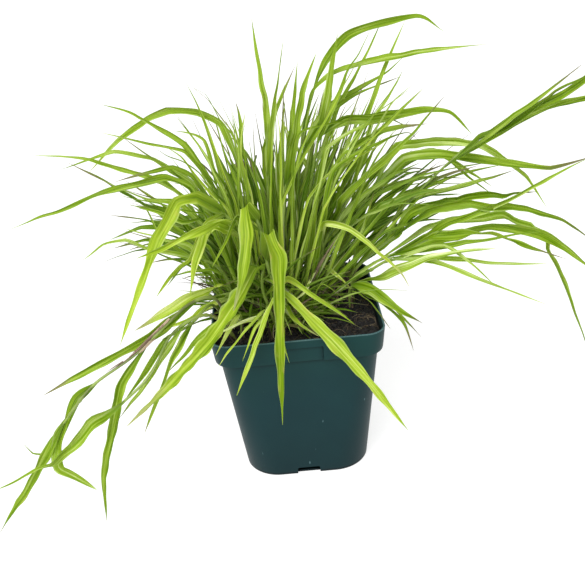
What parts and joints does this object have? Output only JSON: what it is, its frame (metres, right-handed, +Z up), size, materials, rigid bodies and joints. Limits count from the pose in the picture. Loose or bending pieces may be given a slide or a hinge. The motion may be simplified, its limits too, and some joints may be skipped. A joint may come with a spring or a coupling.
{
  "type": "japanese forest grass in a square nursery pot",
  "caption": "Clump of Japanese forest grass with thin culms and long arching lime to dark green blades, standing in peat soil in a square dark teal plastic nursery pot with a stepped rim.",
  "frame": {"origin": "centre of the pot's flat base, on the surface that it stands on", "axes": "+Z up along the pot's axis, +X to the right along the longest reach of the blades, -Y towards the front of the pot with the label recess"},
  "size_m": [0.474, 0.3105, 0.342],
  "materials": {
    "pot_plastic": "satin moulded polypropylene, dark teal green",
    "peat_soil": "moist dark brown peat with bark fibres",
    "leaf_lime": "thin smooth blade, lime green, parallel veins, lets light through",
    "leaf_green": "thin smooth blade, mid green, parallel veins, lets light through",
    "leaf_shade": "thin smooth blade, dark green, parallel veins"
  },
  "bodies": {
    "root": {"pot": "pot_plastic", "soil": "peat_soil", "culm_arch_right": "leaf_green", "culm_corner_left": "leaf_lime", "culm_fall_front": "leaf_lime", "culm_fall_left": "leaf_lime", "culm_fan_right": "leaf_green", "culm_fill_01": "leaf_shade", "culm_fill_02": "leaf_shade", "culm_fill_03": "leaf_shade", "culm_fill_04": "leaf_shade", "culm_fill_05": "leaf_shade", "culm_fill_06": "leaf_shade", "culm_fill_07": "leaf_shade", "culm_fill_08": "leaf_shade", "culm_fill_09": "leaf_shade", "culm_fill_10": "leaf_shade", "culm_fill_11": "leaf_shade", "culm_fill_12": "leaf_shade", "culm_fill_13": "leaf_shade", "culm_fill_14": "leaf_shade", "culm_fill_15": "leaf_shade", "culm_fill_16": "leaf_shade", "culm_fill_17": "leaf_shade", "culm_fill_18": "leaf_shade", "culm_fill_19": "leaf_shade", "culm_fill_20": "leaf_shade", "culm_fill_21": "leaf_shade", "culm_fill_22": "leaf_shade", "culm_fill_23": "leaf_shade", "culm_fill_24": "leaf_shade", "culm_fill_25": "leaf_shade", "culm_fill_26": "leaf_shade", "culm_fill_27": "leaf_shade", "culm_fill_28": "leaf_shade", "culm_knee_front": "leaf_lime", "culm_left_arch": "leaf_green", "culm_left_high": "leaf_green", "culm_left_long": "leaf_green", "culm_left_low": "leaf_green", "culm_left_mid": "leaf_green", "culm_left_shelf": "leaf_lime", "culm_lime_right": "leaf_lime", "culm_low_right": "leaf_green", "culm_reach_right": "leaf_green", "culm_rim_right": "leaf_green", "culm_shelf_right": "leaf_green", "culm_skirt_front": "leaf_lime", "culm_skirt_left": "leaf_lime", "culm_spear_right": "leaf_green", "culm_tall_right": "leaf_green", "culm_top_arch": "leaf_green", "culm_top_left": "leaf_green", "culm_top_mid": "leaf_green", "culm_top_right": "leaf_green", "culm_trail_mid": "leaf_green", "culm_trail_near": "leaf_green", "culm_trail_tip": "leaf_green"}
  },
  "joints": []
}
